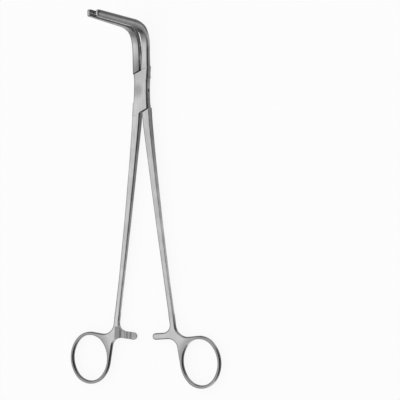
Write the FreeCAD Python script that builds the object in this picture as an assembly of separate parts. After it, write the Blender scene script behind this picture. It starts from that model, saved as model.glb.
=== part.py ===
import FreeCAD
import Part

import math
import os

# Hysterectomy forceps: two forged arms that cross in a box lock, with long slim shanks,
# lapped ratchet bars, oval finger rings, and grooved jaws bent up at a right angle.
# Lengths are millimetres. +Y runs from the rings to the jaws, X is the way the arms open,
# and +Z is the lock pin's axis and the side that the jaws bend to. The origin is on that
# axis, at the back face of the lock. Each arm is drawn with the jaws shut, its jaw face on
# X = 0, and is then turned about the pin by the angle that the instrument lies open at.

Vec = FreeCAD.Vector
X_AXIS = Vec(1, 0, 0)
Y_AXIS = Vec(0, 1, 0)
Z_AXIS = Vec(0, 0, 1)
LEFT = -1
RIGHT = 1

# How far each arm stands open at rest, from the position where the jaws meet
REST_TURN_DEG = 2.3
# How far the shanks and handles are bent outward about the pin
HANDLE_SPREAD_DEG = 0.8

# Box lock
LOCK_THICKNESS = 6.2
LOCK_EDGE_BEVEL = 0.6
WAIST_HALF_WIDTH = 4.5       # the sides are drawn in a little above the pin
WAIST_Y = 1.5
# each slanting plate end: half width of the lock there, where the end meets the middle
# line, and where it meets the side
TOP_END = (4.85, 13.3, 10.7)
LOW_END = (5.2, -14.0, -11.0)
PLATE_END_GAP = 0.12         # between a plate end and the male arm
SLOT_HEIGHT = 2.5
TONGUE_PLAY = 0.05           # above and below the tongue
TONGUE_HALF_WIDTH = 2.65
TONGUE_SHOULDER_Y = 5.0      # the tongue narrows from here to the middle line
TONGUE_TIP_Y = 12.0
TONGUE_ROOT = 1.4            # how far the tongue runs into its stem and shank
WALL_PLAY = 0.1              # beside the tongue
WALL_START_Y = 1.5           # where a side wall of the box begins
SLOT_OVERRUN = 6.0           # how far the slot's cutter reaches past the sides
PIN_DIAMETER = 2.6
PIN_RUNNING_GAP = 0.04

# Jaws
STEM_TOP_Y = 25.4            # the stem is straight up to here
JAW_REACH = 79.5             # from the back of the stem to the tip
BEND_ARCS = ((6.7, 38.0), (63.0, 16.2), (13.3, 62.0))   # turn in degrees, outer radius
STEM_DEPTH = 4.9
JAW_TIP_WIDTH = 4.6
FEMALE_JAW_THICKNESS = (5.0, 4.2, 2.1)   # at the lock, in the bend and at the tip
MALE_JAW_THICKNESS = (5.35, 4.65, 2.2)
JAW_BACK_ROUND = 1.15
JAW_TIP_BACK_ROUND = 0.85
JAW_FACE_BEVEL = 0.15
NOSE_LENGTH = 2.2
NOSE_END_WIDTH = 1.6
NOSE_END_THICKNESS = 0.8
NOSE_END_ROUND = 0.35
NOSE_STEPS = 4
STEM_STEPS = 6
MALE_NECK_DEPTH = 4.0        # the male stem is scooped down to its tongue
MALE_NECK_BEVEL = 0.9        # on the edges of its inner face, running out at the bend
FEMALE_NECK_BEVEL = 0.2

# Grooves along the gripping faces
GROOVE_PLACES = (-0.38, -0.135, 0.115, 0.36)   # across the jaw, as shares of its width
GROOVE_WIDTH = 0.8
GROOVE_DEPTH = 0.45
GROOVE_START_Y = 21.5
GROOVE_POINT_LENGTH = 3.5

# Shanks: distance from the middle line, width and depth at places along the arm
SHANK_STATIONS = (
    (-8.0, 2.55, 5.0, 6.2),
    (-22.0, 2.72, 4.7, 5.8),
    (-45.0, 3.95, 4.2, 4.9),
    (-84.0, 6.35, 3.65, 4.1),
    (-123.0, 9.15, 3.35, 3.5),
)
SHANK_ROUNDS = (0.5, 0.5, 0.55, 0.7, 0.9)
SHANK_END_ROUND = 1.2        # slips inside the handle's bevels

# Handles
HANDLE_TOP_Y = -145.0
HANDLE_TOP_X = 10.98
HANDLE_THICKNESS = 3.3
HANDLE_WIDTH = 3.75
HANDLE_EDGE_BEVEL = 0.7
HANDLE_SEAM = 0.03
RING_CENTRE_X = 29.1
RING_CENTRE_Y = -176.5
RING_HALF_WIDTH = 12.0       # of the opening
RING_HALF_HEIGHT = 15.1
RING_END_RADIUS = 10.35
RING_BAND = 2.0
RING_SHOULDER = (15.3, 15.9)  # where the ring's top line meets the arm, from its centre
ARM_ROOT_X = 13.3             # inner corner under the ratchet bar
ARM_RING_FILLET = 7.8
ARM_BAR_FILLET = 5.2
BAR_RING_FILLET = 6.0

# Ratchet bars
FEMALE_BAR_Y = -159.1
MALE_BAR_Y = -158.7
BAR_SLOPE_DEG = 2.0
FEMALE_BAR_HEIGHT = 4.8
FEMALE_BAR_END_X = 2.9       # past the middle line
MALE_BAR_HEIGHT = 4.2
MALE_BAR_END_X = 2.9
BAR_PLAY = 0.1               # between the two tooth faces
BAR_STEP_X = 12.3            # a ramp to the tooth face starts here
BAR_RAMP = 3.4               # and is this long
RELIEF_ABOVE = 2.6           # how far the ramp reaches above and below the bar
RELIEF_BELOW = 1.2
BAR_STEP_RISE = 0.45         # the end nub stands above the tooth face by this
NUB_LENGTH = 4.0
TOOTH_PITCH = 2.45
TOOTH_DEPTH = 0.55
TOOTH_WIDTH = 1.43           # of each groove, along the bar
TOOTH_STEEP_RUN = 0.25       # along the bar under the steep flank
TOOTH_LIP = 0.01             # how far a groove's cutter starts above the tooth face
TOOTH_COUNT = 4

# Derived sizes
ARC_MIDDLE = 1 - math.sqrt(0.5)   # a round corner's middle, as a share of its radius
LOCK_MIDDLE_Z = LOCK_THICKNESS / 2
STEM_BACK_Z = LOCK_MIDDLE_Z - STEM_DEPTH / 2
HANDLE_BACK_Z = LOCK_MIDDLE_Z - HANDLE_THICKNESS / 2
HANDLE_FRONT_Z = LOCK_MIDDLE_Z + HANDLE_THICKNESS / 2
RING_CENTRE = Vec(RING_CENTRE_X, RING_CENTRE_Y, 0)


def cut_section(origin, across, outward, width, thickness, face, back):
    """A four-sided section standing outward from a point on its inner face.

    Face and back each give how far the corners on that side are cut, and whether the
    cut is round or a plain bevel.
    """
    half = width / 2
    along = (-across, outward, across, -outward)
    corners = [(-half, 0, face), (-half, thickness, back),
               (half, thickness, back), (half, 0, face)]
    cuts = []
    for i, (u, v, (size, is_round)) in enumerate(corners):
        corner = origin + across * u + outward * v
        entering = along[i] * size
        leaving = along[(i + 1) % 4] * size
        middle = corner + (leaving - entering) * ARC_MIDDLE
        cuts.append((corner - entering, middle, corner + leaving, is_round))
    edges = []
    for i, (start, middle, stop, is_round) in enumerate(cuts):
        cut = Part.Arc(start, middle, stop) if is_round else Part.LineSegment(start, stop)
        edges.append(cut.toShape())
        edges.append(Part.LineSegment(stop, cuts[(i + 1) % 4][0]).toShape())
    return Part.Wire(edges)


def jaw_section(origin, across, outward, width, thickness, face_bevel, back_round):
    """A jaw's or stem's section: its gripping face on the origin, its round back outward."""
    return cut_section(origin, across, outward, width, thickness,
                       (face_bevel, False), (back_round, True))


def shank_section(side, y, x, width, depth, corner_round):
    """A shank's section across Y, centred on the lock's middle plane."""
    origin = Vec(side * (x - width / 2), y, LOCK_MIDDLE_Z)
    return cut_section(origin, Z_AXIS, X_AXIS * side, depth, width,
                       (corner_round, True), (corner_round, True))


def joined(shapes):
    """One solid from pieces that share faces or run into each other."""
    whole = shapes[0].fuse(shapes[1:])
    return whole.removeSplitter()


def plan_prism(points, low, high):
    """A prism over a polygon drawn in X and Y."""
    corners = [Vec(x, y, low) for x, y in points]
    outline = Part.makePolygon(corners + corners[:1])
    return Part.Face(outline).extrude(Vec(0, 0, high - low))


def directions(turn_deg):
    """Heading along the jaw's middle line, and across it, after a turn from +Y."""
    a = math.radians(turn_deg)
    return Vec(0, math.cos(a), math.sin(a)), Vec(0, -math.sin(a), math.cos(a))


def bend_path():
    """The bend as arcs: place and turn at the start of each, its centre and its turn."""
    place = Vec(0, STEM_TOP_Y, LOCK_MIDDLE_Z)
    turned = 0.0
    arcs = []
    for turn_deg, outer_radius in BEND_ARCS:
        radius = outer_radius - STEM_DEPTH / 2
        centre = place + directions(turned)[1] * radius
        arcs.append((place, turned, centre, turn_deg))
        turned += turn_deg
        place = centre - directions(turned)[1] * radius
    return arcs, place, turned


def jaw_length():
    """Length of the straight part beyond the bend."""
    _, start, turned = bend_path()
    return (STEM_BACK_Z + JAW_REACH - start.z) / directions(turned)[0].z


def jaw(side, thicknesses, root_depth, root_bevel):
    """Stem, bend and straight jaw with a rounded nose."""
    root_thick, bend_thick, tip_thick = thicknesses
    outward = X_AXIS * side
    root = Vec(0, TONGUE_SHOULDER_Y + 3, LOCK_MIDDLE_Z)
    low = Vec(0, STEM_TOP_Y, LOCK_MIDDLE_Z)
    arcs, top, turned = bend_path()
    heading, across = directions(turned)
    length = jaw_length()

    def stem_section(share):
        """From 0 in the lock to 1 at the bend, easing into the stem's own depth."""
        depth = STEM_DEPTH + (root_depth - STEM_DEPTH) * (1 - share) ** 2
        thick = root_thick + (bend_thick - root_thick) * share
        face_bevel = root_bevel + (JAW_FACE_BEVEL - root_bevel) * share
        return jaw_section(root + (low - root) * share, Z_AXIS, outward, depth,
                           thick, face_bevel, JAW_BACK_ROUND)

    shares = [i / STEM_STEPS for i in range(STEM_STEPS + 1)]
    stem = Part.makeLoft([stem_section(share) for share in shares], True, True)
    bends = []
    for start, start_turn, centre, turn in arcs:
        section = jaw_section(start, directions(start_turn)[1], outward, STEM_DEPTH,
                              bend_thick, JAW_FACE_BEVEL, JAW_BACK_ROUND)
        bends.append(Part.Face(section).revolve(centre, X_AXIS, turn))

    def blade_section(s, shrink):
        share = s / length
        width = STEM_DEPTH + (JAW_TIP_WIDTH - STEM_DEPTH) * share
        thick = bend_thick + (tip_thick - bend_thick) * share
        back = JAW_BACK_ROUND + (JAW_TIP_BACK_ROUND - JAW_BACK_ROUND) * share
        width -= (width - NOSE_END_WIDTH) * shrink
        thick -= (thick - NOSE_END_THICKNESS) * shrink
        back -= (back - NOSE_END_ROUND) * shrink
        return jaw_section(top + heading * s, across, outward, width, thick,
                           JAW_FACE_BEVEL, back)

    nose_start = length - NOSE_LENGTH
    blade = Part.makeLoft([blade_section(0, 0), blade_section(nose_start, 0)], True, True)
    turns = [math.pi / 2 * i / NOSE_STEPS for i in range(NOSE_STEPS + 1)]
    nose = Part.makeLoft([
        blade_section(nose_start + NOSE_LENGTH * math.sin(t), 1 - math.cos(t))
        for t in turns
    ], True, True)
    return joined([stem, blade, nose] + bends)


def groove_section(centre, across, outward):
    """A V across the gripping face, its open side a little above the face."""
    lip = 0.2
    spread = GROOVE_WIDTH / 2 * (1 + lip / GROOVE_DEPTH)
    left = centre - across * spread - outward * lip
    right = centre + across * spread - outward * lip
    bottom = centre + outward * GROOVE_DEPTH
    return Part.makePolygon([left, right, bottom, left])


def jaw_grooves(side):
    """The cutters of the lengthwise grooves, each ending in a point on the stem."""
    outward = X_AXIS * side
    arcs, top, turned = bend_path()
    heading, across = directions(turned)
    length = jaw_length()
    cutters = []
    for place in GROOVE_PLACES:
        offset = place * STEM_DEPTH
        tip_offset = place * JAW_TIP_WIDTH
        stem_end = Vec(0, STEM_TOP_Y, LOCK_MIDDLE_Z + offset)
        line_start = Vec(0, GROOVE_START_Y + GROOVE_POINT_LENGTH, stem_end.z)
        first = groove_section(line_start, Z_AXIS, outward)
        at_bend = groove_section(stem_end, Z_AXIS, outward)
        after_bend = groove_section(top + across * offset, across, outward)
        past_tip = groove_section(top + heading * (length + 1) + across * tip_offset,
                                  across, outward)
        apex = Part.Vertex(Vec(0, GROOVE_START_Y, line_start.z))
        cutters.append(Part.makeLoft([apex, first], True, True))
        cutters.append(Part.makeLoft([first, at_bend], True, True))
        for start, start_turn, centre, turn in arcs:
            start_across = directions(start_turn)[1]
            section = groove_section(start + start_across * offset, start_across, outward)
            cutters.append(Part.Face(section).revolve(centre, X_AXIS, turn))
        cutters.append(Part.makeLoft([after_bend, past_tip], True, True))
    return cutters


def plate_end_y(end, x, grow):
    """Height of a slanting plate end at a distance from the middle line."""
    half_width, inner, outer = end
    up = 1 if inner > 0 else -1
    rise = abs(inner - outer) / half_width
    return inner + rise * x + up * grow * math.sqrt(1 + rise * rise)


def lock_outline(grow):
    """The plates' outline seen from the front, with slanting ends and drawn-in sides."""
    top, low = TOP_END[0], LOW_END[0]
    top_left = Vec(-top, plate_end_y(TOP_END, -top, grow), 0)
    top_right = Vec(top, plate_end_y(TOP_END, top, grow), 0)
    low_right = Vec(low, plate_end_y(LOW_END, low, grow), 0)
    low_left = Vec(-low, plate_end_y(LOW_END, -low, grow), 0)
    right_waist = Vec(WAIST_HALF_WIDTH, WAIST_Y, 0)
    left_waist = Vec(-WAIST_HALF_WIDTH, WAIST_Y, 0)
    return Part.Wire([
        Part.LineSegment(top_left, top_right).toShape(),
        Part.Arc(top_right, right_waist, low_right).toShape(),
        Part.LineSegment(low_right, low_left).toShape(),
        Part.Arc(low_left, left_waist, top_left).toShape(),
    ])


def lock_block():
    """Both plates and what joins them, before the slot is cut."""
    block = Part.Face(lock_outline(0)).extrude(Vec(0, 0, LOCK_THICKNESS))
    flat_ends = (0, LOCK_THICKNESS)
    long_edges = [e for e in block.Edges
                  if isinstance(e.Curve, Part.Circle)
                  and any(abs(e.BoundBox.ZMin - z) < 1e-6 and abs(e.BoundBox.ZMax - z) < 1e-6
                          for z in flat_ends)]
    return block.makeChamfer(LOCK_EDGE_BEVEL, long_edges)


def tongue_points(grow):
    """The tongue's outline, or the slot's with the play beside the tongue."""
    w = TONGUE_HALF_WIDTH + grow
    outer = LOW_END[0] + (SLOT_OVERRUN if grow else 0)
    inner_reach = -LOW_END[1] + TONGUE_ROOT
    outer_reach = -LOW_END[2] + TONGUE_ROOT + (SLOT_OVERRUN if grow else 0)
    wall_y = WALL_START_Y if grow else 0
    upper = [(grow, inner_reach), (grow, TONGUE_TIP_Y + grow), (w, TONGUE_SHOULDER_Y + grow),
             (w, wall_y), (outer, WALL_START_Y if grow else -WALL_START_Y),
             (outer, -outer_reach)]
    return upper + [(-x, -y) for x, y in upper]


def slot():
    """What is cut out of the female arm to let the tongue through and let it swing."""
    half = SLOT_HEIGHT / 2
    return plan_prism(tongue_points(WALL_PLAY), LOCK_MIDDLE_Z - half, LOCK_MIDDLE_Z + half)


def tongue():
    """The thin middle of the male arm, cut off where the stem and shank take over."""
    half = SLOT_HEIGHT / 2 - TONGUE_PLAY
    plate = plan_prism(tongue_points(0), LOCK_MIDDLE_Z - half, LOCK_MIDDLE_Z + half)
    waist = Part.Face(lock_outline(TONGUE_ROOT)).extrude(Vec(0, 0, LOCK_THICKNESS))
    return plate.common(waist)


def lock_window():
    """All that lies between the slanting ends, where only the tongue may pass."""
    reach = 2 * LOW_END[0]
    corners = [(x, plate_end_y(end, x, PLATE_END_GAP))
               for end, x in ((TOP_END, -reach), (TOP_END, reach),
                              (LOW_END, reach), (LOW_END, -reach))]
    return plan_prism(corners, -1, LOCK_THICKNESS + 1)


def pin_hole(radius):
    return Part.makeCylinder(radius, LOCK_THICKNESS, Vec(0, 0, 0), Z_AXIS)


def tangent_point(centre, radius, outside, turn):
    """Where a line from an outside point touches a circle."""
    away = outside - centre
    angle = math.atan2(away.y, away.x) + turn * math.acos(radius / away.Length)
    return centre + Vec(math.cos(angle), math.sin(angle), 0) * radius


def ring_arcs(band):
    """Centres and radii of the oval's side and end arcs, grown by the band."""
    drop = RING_HALF_HEIGHT - RING_END_RADIUS
    lead = RING_HALF_WIDTH - RING_END_RADIUS
    side_radius = RING_END_RADIUS + (drop ** 2 + lead ** 2) / (2 * lead)
    shift = side_radius - RING_HALF_WIDTH
    return drop, shift, side_radius + band, RING_END_RADIUS + band


def arc_round(centre, radius, start, stop):
    """An arc from one angle to another, in radians."""
    def at(a):
        return centre + Vec(math.cos(a), math.sin(a), 0) * radius
    return Part.Arc(at(start), at((start + stop) / 2), at(stop)).toShape()


def ring_opening():
    """The oval that a finger goes through, from four arcs."""
    drop, shift, side_radius, end_radius = ring_arcs(0)
    meet = math.atan2(drop, shift)
    turn = math.pi
    right = RING_CENTRE - X_AXIS * shift
    left = RING_CENTRE + X_AXIS * shift
    return Part.Wire([
        arc_round(right, side_radius, -meet, meet),
        arc_round(RING_CENTRE + Y_AXIS * drop, end_radius, meet, turn - meet),
        arc_round(left, side_radius, turn - meet, turn + meet),
        arc_round(RING_CENTRE - Y_AXIS * drop, end_radius, turn + meet, 2 * turn - meet),
    ])


def handle_outline(bar_height, bar_end_x, bar_centre_y):
    """One closed line round the arm's end, the ratchet bar and the ring, right-hand side.

    It is drawn with the ring away from the middle line, and X grows towards the ring.
    """
    drop, shift, side_radius, end_radius = ring_arcs(RING_BAND)
    meet = math.atan2(drop, shift)
    turn = math.pi
    slope = math.radians(BAR_SLOPE_DEG)
    half_arm = HANDLE_WIDTH / 2
    arm_lean = (HANDLE_TOP_X - SHANK_STATIONS[-1][1]) / (SHANK_STATIONS[-1][0] - HANDLE_TOP_Y)

    top_inner = Vec(HANDLE_TOP_X - half_arm, HANDLE_TOP_Y, 0)
    top_outer = Vec(HANDLE_TOP_X + half_arm, HANDLE_TOP_Y, 0)

    along = Vec(math.cos(slope), math.sin(slope), 0)
    across = Vec(-math.sin(slope), math.cos(slope), 0) * (bar_height / 2)
    end_x = -bar_end_x + bar_height / 2
    end_middle = Vec(end_x, bar_centre_y - (ARM_ROOT_X - end_x) * math.tan(slope), 0)
    end_top = end_middle + across
    end_low = end_middle - across
    end_tip = end_middle - along * (bar_height / 2)
    inner_edge_x = top_inner.x + (HANDLE_TOP_Y - end_top.y) * arm_lean
    bar_top = end_top + along * ((inner_edge_x - end_top.x) / along.x)
    bar_low = end_low + along * ((ARM_ROOT_X - end_low.x) / along.x)

    near_side = RING_CENTRE + X_AXIS * shift
    far_side = RING_CENTRE - X_AXIS * shift
    upper_end = RING_CENTRE + Y_AXIS * drop
    lower_end = RING_CENTRE - Y_AXIS * drop
    touch_side = tangent_point(near_side, side_radius, bar_low, 1)
    side_angle = math.atan2(touch_side.y - near_side.y, touch_side.x - near_side.x)
    shoulder = RING_CENTRE + Vec(-RING_SHOULDER[0], RING_SHOULDER[1], 0)
    touch_top = tangent_point(upper_end, end_radius, shoulder, -1)
    top_angle = math.atan2(touch_top.y - upper_end.y, touch_top.x - upper_end.x)
    if side_angle < 0:
        side_angle += 2 * turn
    return Part.Wire([
        Part.LineSegment(top_outer, top_inner).toShape(),
        Part.LineSegment(top_inner, bar_top).toShape(),
        Part.LineSegment(bar_top, end_top).toShape(),
        Part.Arc(end_top, end_tip, end_low).toShape(),
        Part.LineSegment(end_low, bar_low).toShape(),
        Part.LineSegment(bar_low, touch_side).toShape(),
        arc_round(near_side, side_radius, side_angle, turn + meet),
        arc_round(lower_end, end_radius, turn + meet, 2 * turn - meet),
        arc_round(far_side, side_radius, -meet, meet),
        arc_round(upper_end, end_radius, meet, top_angle),
        Part.LineSegment(touch_top, shoulder).toShape(),
        Part.LineSegment(shoulder, top_outer).toShape(),
    ])


def upright_edges_near(solid, spots):
    """The edges along Z that stand over the given plan points, one for each."""
    found = []
    for x, y in spots:
        uprights = [e for e in solid.Edges
                    if e.BoundBox.ZLength > HANDLE_THICKNESS * 0.9
                    and e.BoundBox.XLength < 1e-4 and e.BoundBox.YLength < 1e-4]
        found.append(min(uprights, key=lambda e: math.hypot(e.BoundBox.XMin - x,
                                                            e.BoundBox.YMin - y)))
    return found


def corner_spots(outline):
    """Plan points of the three inner corners that get a large fillet."""
    lines = [e for e in outline.Edges if isinstance(e.Curve, Part.Line)]
    ends = [[v.Point for v in e.Vertexes] for e in lines]

    def shared(a, b):
        return min(((p, q) for p in ends[a] for q in ends[b]),
                   key=lambda pair: (pair[0] - pair[1]).Length)[0]

    bar_top = shared(1, 2)
    bar_low = shared(3, 4)
    shoulder = shared(5, 6)
    return [(p.x, p.y) for p in (bar_top, bar_low, shoulder)]


def handle_plate(bar_height, bar_end_x, bar_centre_y):
    """The whole handle at full thickness with rounded edges, on the +X side."""
    outline = handle_outline(bar_height, bar_end_x, bar_centre_y)
    outline.translate(Vec(0, 0, HANDLE_BACK_Z))
    rise = Vec(0, 0, HANDLE_THICKNESS)
    plate = Part.Face(outline).extrude(rise)
    radii = (ARM_BAR_FILLET, BAR_RING_FILLET, ARM_RING_FILLET)
    for radius, spot in zip(radii, corner_spots(outline)):
        plate = plate.makeFillet(radius, upright_edges_near(plate, [spot]))
    opening = ring_opening()
    opening.translate(Vec(0, 0, HANDLE_BACK_Z))
    plate = plate.cut(Part.Face(opening).extrude(rise))
    rims = [e for e in plate.Edges
            if e.BoundBox.ZLength < 1e-6 and e.BoundBox.YMax < HANDLE_TOP_Y - 1e-3
            or e.BoundBox.ZLength < 1e-6 and e.BoundBox.YLength > 1e-3]
    return plate.makeChamfer(HANDLE_EDGE_BEVEL, rims)


def tooth_cutters(first, up, bar_height):
    """Saw-tooth grooves across a ratchet bar, sunk into its tooth face."""
    cutters = []
    reach = 2 * bar_height
    for i in range(TOOTH_COUNT):
        corner = first + Vec(i * TOOTH_PITCH, -reach / 2, 0)
        lip = Vec(0, 0, up * TOOTH_LIP)
        bottom = corner + Vec(TOOTH_STEEP_RUN, 0, -up * TOOTH_DEPTH)
        far = corner + lip + Vec(TOOTH_WIDTH, 0, 0)
        v = Part.Face(Part.makePolygon([corner + lip, bottom, far, corner + lip]))
        cutters.append(v.extrude(Vec(0, reach, 0)))
    return cutters


def handle(side, bar_height, bar_end_x, bar_centre_y, teeth_up):
    """A finished handle: half of the bar's thickness is cut away, and teeth are cut."""
    plate = handle_plate(bar_height, bar_end_x, bar_centre_y)
    tip_z = LOCK_MIDDLE_Z - teeth_up * BAR_PLAY / 2
    face_z = tip_z - teeth_up * (BAR_STEP_RISE if teeth_up > 0 else 0)
    outer_z = HANDLE_FRONT_Z if teeth_up > 0 else HANDLE_BACK_Z
    low_y = bar_centre_y - bar_height / 2 - RELIEF_BELOW
    high_y = bar_centre_y + bar_height / 2 + RELIEF_ABOVE

    def relief(x0, z):
        """Clear the outer side down to a height, from x0 to a ramp up to the arm."""
        ramp_foot = BAR_STEP_X - BAR_RAMP
        slope = (outer_z - z) / BAR_RAMP
        profile = [(x0, z), (ramp_foot, z), (BAR_STEP_X + 1, outer_z + slope),
                   (x0, outer_z + slope)]
        corners = [Vec(x, low_y, height) for x, height in profile]
        face = Part.Face(Part.makePolygon(corners + corners[:1]))
        return face.extrude(Vec(0, high_y - low_y, 0))

    cuts = [relief(-bar_end_x - 1, tip_z)]
    if teeth_up > 0:
        cuts.append(relief(-bar_end_x + NUB_LENGTH, face_z))
    plate = plate.cut(cuts)
    first_tooth = Vec(-bar_end_x + NUB_LENGTH, bar_centre_y, face_z)
    plate = plate.cut(tooth_cutters(first_tooth, teeth_up, bar_height))
    plate.rotate(Vec(0, 0, 0), Z_AXIS, HANDLE_SPREAD_DEG)
    if side == LEFT:
        plate = plate.mirror(Vec(0, 0, 0), X_AXIS)
    return plate


def shank(side):
    """The long slim shank from inside the lock to the handle."""
    sections = [shank_section(side, y, x, w, d, r)
                for (y, x, w, d), r in zip(SHANK_STATIONS, SHANK_ROUNDS)]
    # a hair slimmer than the handle that it runs into, so that no two faces coincide
    seam = 2 * HANDLE_SEAM
    sections.append(shank_section(side, HANDLE_TOP_Y, HANDLE_TOP_X, HANDLE_WIDTH - seam,
                                  HANDLE_THICKNESS - seam, SHANK_END_ROUND))
    for section in sections[1:]:
        section.rotate(Vec(0, 0, 0), Z_AXIS, side * HANDLE_SPREAD_DEG)
    return Part.makeLoft(sections, True, True)


def opened(shape, side):
    """Turn an arm about the pin, from shut to where it lies at rest."""
    turned = shape.copy()
    turned.rotate(Vec(0, 0, 0), Z_AXIS, -side * REST_TURN_DEG)
    return turned


def female_arm():
    """Right-hand jaw, box with its slot, left-hand shank, ratchet and ring."""
    body = joined([
        lock_block(),
        jaw(RIGHT, FEMALE_JAW_THICKNESS, LOCK_THICKNESS, FEMALE_NECK_BEVEL),
        shank(LEFT),
        handle(LEFT, FEMALE_BAR_HEIGHT, FEMALE_BAR_END_X, FEMALE_BAR_Y, 1),
    ])
    cutters = jaw_grooves(RIGHT) + [slot(), pin_hole(PIN_DIAMETER / 2)]
    return opened(body.cut(cutters), RIGHT)


def male_arm():
    """Left-hand jaw, tongue, right-hand shank, ratchet and ring."""
    window = lock_window()
    upper = jaw(LEFT, MALE_JAW_THICKNESS, MALE_NECK_DEPTH, MALE_NECK_BEVEL).cut(window)
    lower = joined([
        shank(RIGHT),
        handle(RIGHT, MALE_BAR_HEIGHT, MALE_BAR_END_X, MALE_BAR_Y, -1),
    ])
    body = joined([upper, lower.cut(window), tongue()])
    cutters = jaw_grooves(LEFT) + [pin_hole(PIN_DIAMETER / 2 + PIN_RUNNING_GAP)]
    return opened(body.cut(cutters), LEFT)


def lock_pin():
    """The rivet, pressed into both plates and ground flush with them."""
    return pin_hole(PIN_DIAMETER / 2)


def export(name, shape):
    """Write one piece and say how large it is."""
    solids = shape.Solids
    assert shape.isValid() and len(solids) == 1, (name, shape.isValid(), len(solids))
    solids[0].exportStep("parts/" + name + ".step")
    box = solids[0].BoundBox
    print(name, "volume", round(solids[0].Volume, 1), "mm3, box",
          [round(v, 2) for v in (box.XMin, box.YMin, box.ZMin, box.XMax, box.YMax, box.ZMax)])


os.makedirs("parts", exist_ok=True)
export("female_arm", female_arm())
export("male_arm", male_arm())
export("lock_pin", lock_pin())
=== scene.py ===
# %% [markdown]
# # Box-lock forceps in satin steel
#
# The instrument is two forged arms that cross in a box lock and turn on one rivet. Its
# shape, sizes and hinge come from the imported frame, so this lesson is about the look: how
# blasted and brushed stainless steel catches a soft light, and how a plain studio is set up
# so that the flat fronts shine while the flanks stay dark.

import math
from types import SimpleNamespace

import bmesh
import bpy
from mathutils import Matrix, Vector


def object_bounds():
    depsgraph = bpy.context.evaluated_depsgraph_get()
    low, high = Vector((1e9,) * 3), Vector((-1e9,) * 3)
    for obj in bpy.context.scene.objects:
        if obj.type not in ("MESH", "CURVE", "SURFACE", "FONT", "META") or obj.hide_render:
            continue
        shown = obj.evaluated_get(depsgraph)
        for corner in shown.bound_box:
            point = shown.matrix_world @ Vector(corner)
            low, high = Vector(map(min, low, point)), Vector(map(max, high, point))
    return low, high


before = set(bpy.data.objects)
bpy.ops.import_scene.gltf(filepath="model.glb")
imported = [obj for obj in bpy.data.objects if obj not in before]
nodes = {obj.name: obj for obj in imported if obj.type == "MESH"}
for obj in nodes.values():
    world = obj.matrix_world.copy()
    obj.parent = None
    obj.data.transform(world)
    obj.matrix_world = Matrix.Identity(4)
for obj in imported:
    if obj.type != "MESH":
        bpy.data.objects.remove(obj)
cad_low, cad_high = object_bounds()
scene = bpy.context.scene
MM = 0.001
print("CAD box:", [round(v, 4) for v in cad_low], [round(v, 4) for v in cad_high])

# %% [markdown]
# ## The camera
#
# The photograph looks at the instrument from in front and a little to the right of its
# lock, with a long lens. A camera could be aimed with a constraint, but then its roll is
# hard to set. Here three directions are worked out from the azimuth, elevation and roll,
# and written into the camera's matrix. In this frame the rings-to-jaws line, Y, is up.

# %% Where the camera looks
AZIMUTH = math.radians(21.55)
ELEVATION = math.radians(4.16)
ROLL = math.radians(-0.61)
AIM_SIDE = 35.49 * MM
AIM_UP = -71.20 * MM

back = Vector((math.sin(AZIMUTH) * math.cos(ELEVATION), math.sin(ELEVATION),
               math.cos(AZIMUTH) * math.cos(ELEVATION)))
level_right = (-back).cross(Vector((0, 1, 0))).normalized()
level_up = level_right.cross(-back)
right = math.cos(ROLL) * level_right + math.sin(ROLL) * level_up
up = -math.sin(ROLL) * level_right + math.cos(ROLL) * level_up
aim = level_right * AIM_SIDE + Vector((0, AIM_UP, 0))
print("the camera looks along", [round(-v, 3) for v in back])

# %% [markdown]
# A lens can be given as a focal length or as the width that it shows. The photograph tells
# the width: it is how many of its pixels cover a millimetre of the lock. The camera stands
# far back, as for a catalogue picture, so the near and far parts keep the same scale.

# %% Camera
DISTANCE = 1750.0 * MM
SENSOR = 36.0                  # millimetres
PICTURE_WIDTH = 400            # pixels
PIXELS_PER_MM = 1.5451         # at the lock
view_width = PICTURE_WIDTH / PIXELS_PER_MM * MM

camera_data = bpy.data.cameras.new("camera")
camera_data.sensor_width = SENSOR
camera_data.lens = SENSOR * DISTANCE / view_width
camera_data.clip_start = 0.05
camera_data.clip_end = 20
camera = bpy.data.objects.new("camera", camera_data)
scene.collection.objects.link(camera)
turn = Matrix((right, up, back)).transposed().to_4x4()
camera.matrix_world = Matrix.Translation(aim + back * DISTANCE) @ turn
scene.camera = camera
scene.view_settings.view_transform = "Standard"
print("lens", round(camera_data.lens, 1), "mm at", round(DISTANCE, 3), "m")

# %% [markdown]
# ## Small tools for shader trees
#
# The floor, the sky and the steel are all worked out with node trees. Nodes could be made
# and linked one by one, but that hides the sums in them. Each of these helpers adds one
# or two nodes and hands back the output, so that the steps below read like sums.

# %% Links and sums


def feed(tree, value, socket):
    """Give a socket another node's output, or a plain value."""
    if isinstance(value, bpy.types.NodeSocket):
        tree.links.new(value, socket)
    else:
        socket.default_value = value


def number(tree, operation, *values):
    """A Math node."""
    node = tree.nodes.new("ShaderNodeMath")
    node.operation = operation
    for value, socket in zip(values, node.inputs):
        feed(tree, value, socket)
    return node.outputs["Value"]


def blend(tree, factor, first, second):
    """Mix two numbers."""
    node = tree.nodes.new("ShaderNodeMix")
    feed(tree, factor, node.inputs["Factor"])
    feed(tree, first, node.inputs["A"])
    feed(tree, second, node.inputs["B"])
    return node.outputs["Result"]


# %% [markdown]
# A mask says where on the steel something holds: 1 there, 0 elsewhere. Hard limits would
# show as cut lines, so each mask rises and falls as a smooth step. A window is two steps,
# one up and one down.

# %% Steps and windows


def ramp(tree, value, low, high, to_low=0.0, to_high=1.0):
    """A smooth step from to_low at low to to_high at high."""
    node = tree.nodes.new("ShaderNodeMapRange")
    node.interpolation_type = "SMOOTHSTEP"
    feed(tree, value, node.inputs["Value"])
    for socket_name, limit in (("From Min", low), ("From Max", high),
                               ("To Min", to_low), ("To Max", to_high)):
        feed(tree, limit, node.inputs[socket_name])
    return node.outputs["Result"]


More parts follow.
